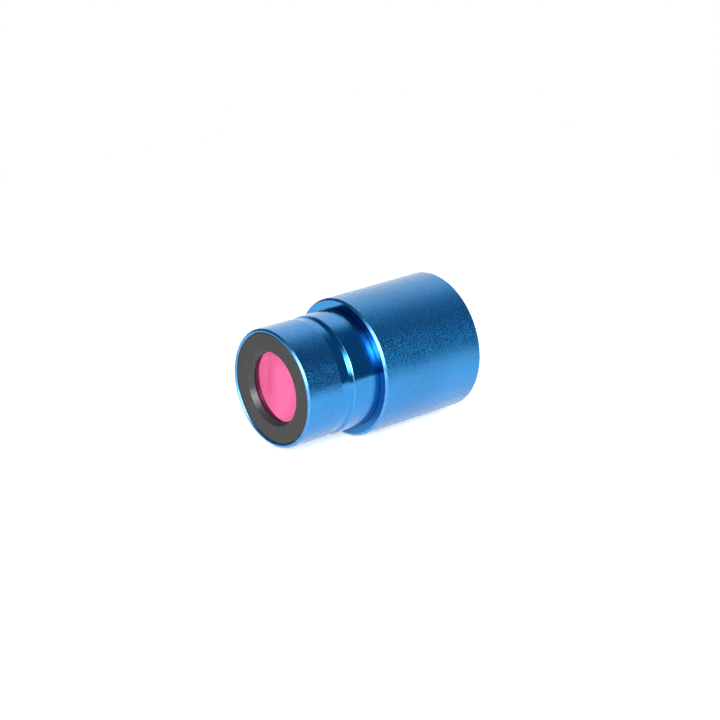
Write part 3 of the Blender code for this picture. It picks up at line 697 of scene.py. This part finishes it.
piece(lathe("nose_barrel", [
    corner(GROOVE_RADIUS, nose_front, 0.05, bright),
    corner(GROOVE_RADIUS, groove_end, 0.8, bright),
    # The narrow lip where the cone meets the barrel gets a paler blue: a painted highlight.
    corner(cone_radius, lip_start, 0.0, edge),
    corner(nose_radius, lip_end, 0.12, bright),
    corner(nose_radius, barrel_rear, 0.06, bright),
    corner(nose_thread, barrel_rear, 0.05, bright, (C_PITCH, -C_RIDGE)),
    corner(nose_thread, nose_rear - 0.3 * MM, 0.05, bright),
    corner(C_RADIUS - 0.6 * MM, nose_rear, 0.1, bright),
    corner(BARREL_BORE, nose_rear, 0.15, black),
    corner(BARREL_BORE, filter_bore_rear, 0.15, black),
    corner(FILTER_BORE, filter_bore_rear, 0.1, bright, (FILTER_PITCH, FILTER_RIDGE)),
    corner(FILTER_BORE, nose_front + FILTER_BEVEL, 0.05, bright),
    corner(FILTER_BORE + FILTER_BEVEL, nose_front, 0.05, bright),
], FINE_STEPS), [POLISHED, BLACK_METAL, PAINTED_HIGHLIGHT_EDGE], "nosepiece",
      ["nosepiece"])

# %% [markdown]
# ## The filter cell
# The cell is a short sleeve that holds the filter and screws into the nosepiece. Its outside is
# blasted satin, and its front rim was cut bright afterwards, on both sides of its narrow land.
# Both bevels get a paler blue, a painted highlight, which together with their real shine makes
# the two crisp shining lines round the front. Inside it has a pocket for the glass, a ledge
# behind the pocket, and a blackened bore. A Bevel modifier would give all edges one width, but
# these differ, so each corner of the outline states its own.

# %% Filter cell
RIM_INNER = 14.7 * MM
RIM_BEVEL = 0.45 * MM
RIM_INNER_BEVEL = 0.28 * MM
CELL_THREAD = 14.1 * MM
CELL_TIP = 13.7 * MM
CELL_BORE = 12.4 * MM
LEDGE_BORE = 10.0 * MM
glass_front, glass_rear, glass_radius = stations("ir_filter")
sleeve_rear = nose_front - 0.06 * MM
pocket_mouth = glass_front + 0.15 * MM
pocket_floor = glass_rear + 0.7 * MM
ledge_rear = pocket_floor + 1.4 * MM
pocket = glass_radius + 0.2 * MM
satin, bright, black, edge = range(4)

piece(lathe("front_sleeve", [
    # Both rim bevels get the paler blue of a painted highlight.
    corner(cell_radius - RIM_BEVEL, cell_front, 0.08, edge),
    corner(cell_radius, cell_front + RIM_BEVEL, 0.1, satin),
    corner(cell_radius, sleeve_rear - 0.12 * MM, 0.03, bright),
    corner(cell_radius - 0.1 * MM, sleeve_rear, 0.03, bright),
    corner(CELL_THREAD, sleeve_rear, 0.05, bright, (FILTER_PITCH, -FILTER_RIDGE)),
    corner(CELL_THREAD, cell_rear - 0.25 * MM, 0.05, bright),
    corner(CELL_TIP, cell_rear, 0.05, bright),
    corner(CELL_BORE, cell_rear, 0.1, black),
    corner(CELL_BORE, ledge_rear, 0.2, black),
    corner(LEDGE_BORE, ledge_rear, 0.1, black),
    corner(LEDGE_BORE, pocket_floor, 0.1, black),
    corner(pocket, pocket_floor, 0.05, black),
    corner(pocket, pocket_mouth, 0.05, black),
    corner(RIM_INNER, pocket_mouth, 0.05, bright),
    corner(RIM_INNER, cell_front + RIM_INNER_BEVEL, 0.03, edge),
    corner(RIM_INNER + RIM_INNER_BEVEL, cell_front, 0.04, bright),
], FINE_STEPS), [SATIN_BAND, POLISHED, BLACK_METAL, PAINTED_HIGHLIGHT_EDGE], "filter_cell",
      ["filter_cell"])

# %% [markdown]
# ## The clamping ring
# A black ring screws in over the filter and holds it. Its opening widens towards the front,
# and its tapered wall carries fine ridges, so that light that grazes it is broken up before it
# can reach the sensor. Bump could draw the ridges, but real ones catch light on one side only,
# so a short loop adds them to the outline. The wall is cut, not blasted, and shines more.

# %% Clamping ring
CUT_BLACK = black_finish("cut_black_anodising", (0.016, 0.016, 0.016), (0.026, 0.026, 0.026),
                         0.2, 0.34, 5200.0, 0.5)[0]
RING_MOUTH = 10.0 * MM
RING_THROAT = 9.2 * MM
RIDGES = 7
RIDGE_HEIGHT = 0.035 * MM
ring_front, ring_rear, ring_radius = stations("retaining_ring")
ring_outer = ring_radius + 0.12 * MM
matt, cut = range(2)

ring_corners = [
    corner(RING_MOUTH, ring_front, 0.1, matt),
    corner(ring_outer, ring_front, 0.12, matt),
    corner(ring_outer, ring_rear, 0.08, matt),
    corner(RING_THROAT, ring_rear, 0.03, cut),
]
for index in range(1, 2 * RIDGES):
    share = index / (2 * RIDGES)
    wave = RIDGE_HEIGHT if index % 2 else -RIDGE_HEIGHT
    ring_corners.append(corner(RING_THROAT + (RING_MOUTH - RING_THROAT) * share + wave,
                               ring_rear + (ring_front - ring_rear) * share, 0.1, cut))
piece(lathe("clamp_ring", ring_corners), [BLACK_METAL, CUT_BLACK], "filter_cell",
      ["retaining_ring"])

# %% [markdown]
# ## The filter glass
# The filter is a flat disc with a small ground chamfer on both edges. A cylinder with a Bevel
# modifier would do, but the lathe gives the chamfer its own ground finish, whose dark teal is
# partly the glass's tint and partly painted shade.

# %% Filter glass
CHAMFER = 0.18 * MM
ROUND_STEPS = 128
coated, ground = range(2)
piece(lathe("coated_filter", [
    corner(0.0, glass_front, 0.0, coated),
    corner(glass_radius - CHAMFER, glass_front, 0.02, ground),
    corner(glass_radius, glass_front + CHAMFER, 0.02, ground),
    corner(glass_radius, glass_rear - CHAMFER, 0.02, ground),
    corner(glass_radius - CHAMFER, glass_rear, 0.02, coated),
    corner(0.0, glass_rear, 0.0, coated),
], ROUND_STEPS), [PINK, SHADED_GLASS_EDGE], "filter_cell", ["ir_filter"])

# %% [markdown]
# ## Seals
# A rubber ring at each thread keeps dust out, and a thin gasket cushions the glass. A torus
# would be too round: these are flat rings, so the lathe turns a rectangle whose corners
# are rounded by almost half its thickness, as moulded rubber is.

# %% Seals
SEAL_ROUNDING = 0.45
SEALS = (("rear_seal", "nosepiece_seal_ring", "nosepiece_seal"),
         ("front_seal", "cell_seal_ring", "cell_seal"),
         ("glass_gasket", "filter_gasket", "filter_cell"))


def bore_radius(node):
    """The smallest distance between a ring's surface and the optical axis."""
    thing = bpy.data.objects[node]
    places = [thing.matrix_world @ vertex.co for vertex in thing.data.vertices]
    return min(math.hypot(place.x - AXIS_X, place.z - AXIS_Z) for place in places)


for name, node, body in SEALS:
    front, rear, outer = stations(node)
    inner = bore_radius(node)
    rounding = (rear - front) / MM * SEAL_ROUNDING
    piece(lathe(name, [corner(inner, front, rounding), corner(outer, front, rounding),
                       corner(outer, rear, rounding), corner(inner, rear, rounding)],
                ROUND_STEPS),
          [RUBBER], body, [node])

# %% [markdown]
# ## The rear cover
# The cover is a satin disc that drops into the rear of the tube. It has openings for both
# sockets and for three screw heads. Booleans could cut them one by one, but a plate
# filled from loops gets all its openings at once, each with the same soft edge.

# %% Rear cover
HEAD_RADIUS = 1.85 * MM


def rear_view(node):
    """Both corners of a piece's box, and how wide and tall it looks from behind."""
    low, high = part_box(node)
    return low, high, high.x - low.x, high.z - low.z


usb_low, usb_high, usb_width, usb_tall = rear_view("usb_socket_shell")
port_low, port_high, port_width, port_tall = rear_view("guide_port_housing")
usb_z = (usb_low.z + usb_high.z) / 2 - AXIS_Z
port_z = (port_low.z + port_high.z) / 2 - AXIS_Z
cover_loops = [circle(cover_radius, steps=LATHE_STEPS),
               rounded_box(usb_width + 0.5 * MM, usb_tall + 0.5 * MM, usb_tall / 2, z=usb_z),
               rounded_box(port_width + 0.4 * MM, port_tall + 0.4 * MM, 0.4 * MM, z=port_z)]
for x, z in screw_places:
    cover_loops.append(circle(HEAD_RADIUS + 0.12 * MM, x - AXIS_X, z - AXIS_Z, SMALL_STEPS))
piece(plate("end_plate", cover_loops, cover_front, cover_rear, 0.12 * MM), [SATIN_BODY],
      "camera_body", ["rear_cover"])

# %% [markdown]
# ## The cover's screws
# They are countersunk and have a hexagon socket, blackened like the ones on most small
# instruments. The socket could be cut with a Boolean, but a ring of the lathe whose radius
# follows six flats makes the head and its socket one clean mesh.

# %% Cover screws
HEX_FLAT = 0.66 * MM
HEX_DEPTH = 0.8 * MM
SHANK_RADIUS = 0.9 * MM
HEAD_DEPTH = 1.1 * MM
SCREW_STEPS = 60
for number, (x, z) in enumerate(screw_places, start=1):
    low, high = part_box(f"cover_screw_{number}")
    top, tip = high.y, low.y
    piece(lathe(f"end_screw_{number}", [
        corner(0.0, tip, 0.0),
        corner(SHANK_RADIUS, tip, 0.15),
        corner(SHANK_RADIUS, top - HEAD_DEPTH, 0.05),
        corner(HEAD_RADIUS, top - 0.15 * MM, 0.06),
        corner(HEAD_RADIUS, top, 0.08),
        corner(HEX_FLAT + 0.06 * MM, top, 0.0, hexagon=True),
        corner(HEX_FLAT, top - 0.08 * MM, 0.0, hexagon=True),
        corner(HEX_FLAT, top - HEX_DEPTH, 0.0, hexagon=True),
        corner(0.0, top - HEX_DEPTH - 0.15 * MM, 0.0),
    ], SCREW_STEPS, x, z), [DARK_STEEL], "camera_body", [f"cover_screw_{number}"])

# %% [markdown]
# ## The data socket
# This is a small oval socket: a drawn steel shell, a thin plastic tongue in its middle, and a
# row of gold pads on each side of the tongue. Each has one outline all along the axis, so
# plates fit them best. The pads are plain bricks, too small for their edges to show.

# %% Data socket
USB_WALL = 0.3 * MM
tongue_low, tongue_high, tongue_width, tongue_tall = rear_view("usb_socket_tongue")
base_low, base_high, base_width, base_tall = rear_view("usb_socket_base")

piece(plate("data_socket_shell", [
    rounded_box(usb_width, usb_tall, usb_tall / 2, z=usb_z),
    rounded_box(usb_width - 2 * USB_WALL, usb_tall - 2 * USB_WALL, usb_tall / 2 - USB_WALL,
                z=usb_z),
], usb_low.y, usb_high.y, 0.09 * MM), [STEEL], "camera_body", ["usb_socket_shell"])
piece(plate("data_socket_tongue", [rounded_box(tongue_width, tongue_tall, 0.2 * MM, z=usb_z)],
            tongue_low.y, tongue_high.y, 0.1 * MM), [PLASTIC], "camera_body",
      ["usb_socket_tongue"])

# %% Contact pads and base
PAD_PITCH = 0.5 * MM
PAD_COLUMNS = 12
PAD_HALF_WIDTH = 0.13 * MM
PAD_HALF_HEIGHT = 0.02 * MM
pads = []
for column in range(PAD_COLUMNS):
    x = (column - (PAD_COLUMNS - 1) / 2) * PAD_PITCH
    for side in (-1, 1):
        face = usb_z + side * tongue_tall / 2
        pads.append((x - PAD_HALF_WIDTH, x + PAD_HALF_WIDTH, usb_low.y + 0.4 * MM,
                     tongue_high.y - 0.6 * MM, face - PAD_HALF_HEIGHT, face + PAD_HALF_HEIGHT))
piece(bricks("data_socket_pads", pads), [GOLD], "camera_body")
piece(plate("data_socket_base", [rounded_box(base_width, base_tall, 0.4 * MM, z=usb_z)],
            base_low.y, base_high.y, 0.15 * MM), [PLASTIC], "camera_body",
      ["usb_socket_base"])

# %% [markdown]
# ## The guide port
# The telescope mount listens on a six-way modular socket. Its opening is stepped at the bottom
# for the plug's latch. A Boolean could cut the steps out of a block, but as the inner loop of
# a plate they get soft edges too. A second plate closes the far end, and thin ribs at
# the top keep the contact wires apart.

# %% Guide port
OPENING_HALF = 4.9 * MM
LATCH_STEPS = ((3.1 * MM, 1.4 * MM), (1.6 * MM, 2.4 * MM))  # half width and depth of each
wire_low, wire_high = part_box("guide_contact_1")
ceiling = wire_high.z + 0.2 * MM - AXIS_Z
port_floor = port_low.y + 1.5 * MM
drop = ceiling - 6.8 * MM

left_side = [(-OPENING_HALF, ceiling), (-OPENING_HALF, drop)]
for half_width, depth in LATCH_STEPS:
    left_side += [(-half_width, left_side[-1][1]), (-half_width, drop - depth)]
opening = [(OPENING_HALF, ceiling), *left_side]
opening += [(-x, z) for x, z in reversed(left_side[1:])]
outside = rounded_box(port_width, port_tall, 0.35 * MM, z=port_z)
piece(plate("guide_port_frame", [outside, opening], port_floor, port_high.y, 0.1 * MM), [PLASTIC],
      "camera_body", ["guide_port_housing"])
piece(plate("guide_port_floor", [outside], port_low.y, port_floor, 0.1 * MM), [PLASTIC],
      "camera_body")

# %% Ribs between the wires
CONTACT_PITCH = 1.02 * MM
RIB_COUNT = 7
RIB_HALF_WIDTH = 0.12 * MM
ribs = []
for gap in range(RIB_COUNT):
    x = (gap - (RIB_COUNT - 1) / 2) * CONTACT_PITCH
    ribs.append((x - RIB_HALF_WIDTH, x + RIB_HALF_WIDTH, wire_low.y - 1.2 * MM,
                 port_high.y - 0.5 * MM, ceiling - 0.95 * MM, ceiling + 0.1 * MM))
piece(bricks("guide_port_ribs", ribs), [PLASTIC], "camera_body",
      bevel=0.05 * MM)

# %% [markdown]
# ## The contact wires
# Six springy gold wires slope down from the top of the port and press on the plug. A curve
# with a round bevel is made for this: four places give the bend, and automatic handles
# keep it soft. It is turned into a mesh, so that it exports like every other piece.

# %% Contact wires
WIRE = 0.22 * MM


def bent_wire(name, places):
    """A round wire through a few places, with soft bends."""
    curve = bpy.data.curves.new(name, "CURVE")
    curve.dimensions = "3D"
    curve.bevel_depth = WIRE
    curve.bevel_resolution = 4
    curve.resolution_u = 6
    curve.use_fill_caps = True
    spline = curve.splines.new("BEZIER")
    spline.bezier_points.add(len(places) - 1)
    for point, place in zip(spline.bezier_points, places):
        point.co = place
        point.handle_left_type = point.handle_right_type = "AUTO"
    return mesh_from(curve)


for number in range(1, 7):
    low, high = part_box(f"guide_contact_{number}")
    x = (low.x + high.x) / 2
    top, bottom = high.z - WIRE, low.z + WIRE
    path = [(x, high.y - WIRE, top), (x, high.y - 0.9 * MM, top - 0.1 * MM),
            (x, (low.y + high.y) / 2, (top + bottom) / 2), (x, low.y + WIRE, bottom)]
    piece(bent_wire(f"guide_wire_{number}", path), [GOLD], "camera_body",
          [f"guide_contact_{number}"])

# %% [markdown]
# ## The pieces inside
# The boards, chips, spacers and screws keep their engineering shapes, which are already right.
# They only need finishes and slightly softened edges. A circuit board is a green lacquer over
# copper: where a track runs below it, the lacquer looks lighter. Drawing real tracks would
# be wasted inside a closed body, so a brick pattern stands for them.

# %% Circuit board finish
def lacquered_board():
    """Green lacquer over copper tracks."""
    material, tree, shader, where = new_material("lacquered_circuit_board")
    turned = tree.nodes.new("ShaderNodeMapping")
    fill_sockets(tree, turned, {"Vector": where, "Rotation": (math.pi / 2, 0, 0)})
    weave = tree.nodes.new("ShaderNodeTexBrick")
    fill_sockets(tree, weave, {
        "Vector": turned.outputs["Vector"], "Scale": 420.0, "Mortar Size": 0.06,
        "Color1": (0.004, 0.045, 0.02, 1), "Color2": (0.006, 0.06, 0.026, 1),
        "Mortar": (0.02, 0.11, 0.045, 1)})
    fill_sockets(tree, shader, {
        "Base Color": weave.outputs["Color"],
        "Roughness": spread(tree, noise(tree, where, 900.0), 0.25, 0.4),
        "Normal": bump(tree, weave.outputs["Fac"], 0.3, GRAIN_RELIEF)})
    return material


BOARD = lacquered_board()
show_finishes(BOARD)

# %% [markdown]
# The sensor's silicon is a dark mirror with a hint of colour from its fine rows of cells. A
# thin clear glass covers it. It could be left out of a closed body, but it is a real piece
# that counts when the camera is taken apart, so it gets a true glass finish.

# %% Sensor finishes
def silicon():
    """The sensor's light-sensitive face, with its faint rainbow of colour."""
    material, tree, shader, where = new_material("silicon_face")
    sheen = noise(tree, where, 150.0, 1.0)
    fill_sockets(tree, shader, {
        "Base Color": two_tone(tree, sheen, (0.02, 0.05, 0.09), (0.10, 0.04, 0.12)),
        "Roughness": spread(tree, noise(tree, where, 5000.0), 0.1, 0.2),
        "Metallic": 0.8})
    return material


def clear_cover():
    """Thin clear glass."""
    material, tree, shader, where = new_material("clear_cover_glass")
    haze = noise(tree, where, 900.0, 4.0)
    fill_sockets(tree, shader, {
        "Base Color": two_tone(tree, haze, (0.9, 0.96, 0.95), (0.97, 1, 1)),
        "Roughness": spread(tree, haze, 0.01, 0.05),
        "Transmission Weight": 1.0,
        "IOR": 1.5})
    return material


SILICON = silicon()
CLEAR_COVER = clear_cover()
CERAMIC = black_finish("sensor_package", (0.10, 0.095, 0.085), (0.15, 0.145, 0.13),
                       0.4, 0.6, 2500.0, 0.2)[0]
FERRITE = black_finish("pressed_ferrite", (0.05, 0.05, 0.052), (0.09, 0.09, 0.094),
                       0.45, 0.65, 2200.0, 0.4)[0]
show_finishes(SILICON, CLEAR_COVER, CERAMIC, FERRITE)

# %% [markdown]
# A table of names says which finish each inner piece gets. The pieces belong to the fixed
# frame, so only their materials and modifiers are changed, never their meshes.

# %% Finish the inner pieces
INNER_BEVEL = 0.05 * MM
INSIDE = {
    "sensor_board": BOARD, "interface_board": BOARD, "image_sensor": CERAMIC,
    "sensor_die": SILICON, "sensor_cover_glass": CLEAR_COVER, "memory_chip": PLASTIC,
    "voltage_regulator": PLASTIC, "usb_controller": PLASTIC, "board_connector": PLASTIC,
    "power_inductor": FERRITE, "clock_crystal": STEEL,
}
for number in (1, 2, 3):
    INSIDE[f"standoff_{number}"] = BRASS
    INSIDE[f"board_spacer_{number}"] = BRASS
    INSIDE[f"board_screw_{number}"] = STEEL
for node, material in INSIDE.items():
    thing = bpy.data.objects[node]
    thing.data.materials.clear()
    thing.data.materials.append(material)
    even_shading(thing, INNER_BEVEL)
print(len(INSIDE), "inner pieces finished")

# %% [markdown]
# ## The table
# The camera lies on a white light table. A plain white plane would leave the underside dark.
# A weak glow from below keeps the shadow pale and lights the underside, so the round form
# stays easy to read.

# %% Table
TABLE_SIZE = 0.5
TABLE_GLOW = 0.32


def light_table():
    """White plastic that glows a little."""
    material, tree, shader, where = new_material("light_table")
    mottle = noise(tree, where, 30.0, 3.0)
    fill_sockets(tree, shader, {
        "Base Color": two_tone(tree, mottle, (0.86, 0.86, 0.865), (0.88, 0.88, 0.885)),
        "Roughness": 0.9,
        "Specular IOR Level": 0.1,
        "Emission Color": (1, 1, 1, 1),
        "Emission Strength": TABLE_GLOW})
    return material


bpy.ops.mesh.primitive_plane_add(size=TABLE_SIZE, location=(0, 0, 0))
table = bpy.context.object
table.name = "light_table"
table.data.materials.append(light_table())
print("table:", TABLE_SIZE, "m across")

# %% [markdown]
# ## The view and the light
# The lens is long, so that the barrel hardly tapers towards its far end. A shiny object is
# lit by what it reflects. Here that is the pale table, three soft boxes on the viewer's side, a
# white backdrop behind the camera body, and a dim, bluish room elsewhere. The dark parts
# matter as much as the light: their reflections draw the round form. The boxes' cloth is
# brightest in its middle, so their mirror images have no hard edges.

# %% Camera
CAMERA_AZIMUTH = math.radians(50.1)
CAMERA_ELEVATION = math.radians(21.6)
CAMERA_DISTANCE = 585.8 * MM
CAMERA_SIDESTEP = 1.46 * MM
CAMERA_RISE = 0.84 * MM
CAMERA_LENS = 111.6
SENSOR_WIDTH = 36.0
NEAREST_SEEN = 0.01

right = Vector((math.cos(CAMERA_AZIMUTH), math.sin(CAMERA_AZIMUTH), 0))
back = Vector((math.sin(CAMERA_AZIMUTH) * math.cos(CAMERA_ELEVATION),
               -math.cos(CAMERA_AZIMUTH) * math.cos(CAMERA_ELEVATION),
               math.sin(CAMERA_ELEVATION)))
up = back.cross(right)
centre = Vector((AXIS_X, (cell_front + tail) / 2, AXIS_Z))
view = bpy.data.cameras.new("view")
view.lens = CAMERA_LENS
view.sensor_width = SENSOR_WIDTH
view.clip_start = NEAREST_SEEN
viewer = bpy.data.objects.new("view", view)
viewer.location = centre + back * CAMERA_DISTANCE + right * CAMERA_SIDESTEP + up * CAMERA_RISE
viewer.rotation_euler = back.to_track_quat("Z", "Y").to_euler()
bpy.context.scene.collection.objects.link(viewer)
bpy.context.scene.camera = viewer
print("view from", [round(value, 3) for value in viewer.location])

# %% [markdown]
# The soft boxes are square area lights, one metre away. The glow of an area light is even, which
# gives its mirror image a hard edge. But its nodes can read the place on the light, and a
# fade from the middle to the rim makes the image soft, like cloth over a lamp.

# %% Soft lamps
FADE_POWER = 1.5
LAMPS = (("lamp_on_the_right", (0.86, -0.12, 0.44), 0.75, 54),
         ("lamp_before_the_nose", (0.40, -0.80, 0.38), 1.3, 70),
         ("lamp_beside_the_lens", (0.62, -0.58, 0.52), 0.7, 34))


def soft_lamp(name, direction, size, power):
    """A square soft box whose glow fades towards its edges."""
    glow = bpy.data.lights.new(name, "AREA")
    glow.shape = "SQUARE"
    glow.size = size
    glow.energy = power
    glow.use_nodes = True
    tree = glow.node_tree
    cloth = tree.nodes.new("ShaderNodeNewGeometry").outputs["Parametric"]
    offset = tree.nodes.new("ShaderNodeVectorMath")
    offset.operation = "DISTANCE"
    fill_sockets(tree, offset, {0: cloth, 1: (0.5, 0.5, 0)})
    fade = tree.nodes.new("ShaderNodeMath")
    fade.operation = "POWER"
    middle = spread(tree, offset.outputs["Value"], 1.0, 0.0, 0.0, 0.5)
    fill_sockets(tree, fade, {0: middle, 1: FADE_POWER})
    fill_sockets(tree, tree.nodes["Emission"], {"Strength": fade.outputs["Value"]})
    lamp = bpy.data.objects.new(name, glow)
    away = Vector(direction).normalized()
    lamp.location = centre + away
    lamp.rotation_euler = away.to_track_quat("Z", "Y").to_euler()
    bpy.context.scene.collection.objects.link(lamp)
    print(f"{name}: {power} W")


for lamp in LAMPS:
    soft_lamp(*lamp)

# %% [markdown]
# The backdrop could be a wall of white card, but it would stand in the way of other views. So
# it is a world shader, with the room. The direction of a ray is compared with the direction
# of the backdrop's middle: close to it is white, far from it is the dim room. Rays that
# reach the lens directly see plain white paper instead.

# %% World
BACKDROP_MIDDLE = (-0.606, 0.788, 0.101)
BACKDROP_WHITE = (0.74, 0.77, 0.80)
ROOM_DIM = (0.03, 0.093, 0.148)
ROOM_STRENGTH = 2.1

world = bpy.data.worlds.new("studio")
bpy.context.scene.world = world
world.use_nodes = True
tree = world.node_tree
tree.nodes.clear()
direction = tree.nodes.new("ShaderNodeTexCoord").outputs["Generated"]
nearness = tree.nodes.new("ShaderNodeVectorMath")
nearness.operation = "DOT_PRODUCT"
fill_sockets(tree, nearness, {0: direction, 1: BACKDROP_MIDDLE})
room = two_tone(tree, nearness.outputs["Value"], ROOM_DIM, BACKDROP_WHITE, 0.62, 0.77)
studio = tree.nodes.new("ShaderNodeBackground")
fill_sockets(tree, studio, {"Color": room, "Strength": ROOM_STRENGTH})
paper = tree.nodes.new("ShaderNodeBackground")
fill_sockets(tree, paper, {"Color": (1, 1, 1, 1)})
path = tree.nodes.new("ShaderNodeLightPath")
choose = tree.nodes.new("ShaderNodeMixShader")
fill_sockets(tree, choose, {"Fac": path.outputs["Is Camera Ray"],
                            1: studio.outputs["Background"], 2: paper.outputs["Background"]})
output = tree.nodes.new("ShaderNodeOutputWorld")
fill_sockets(tree, output, {"Surface": choose.outputs["Shader"]})
bpy.context.scene.view_settings.view_transform = "Standard"
print("room strength:", ROOM_STRENGTH)
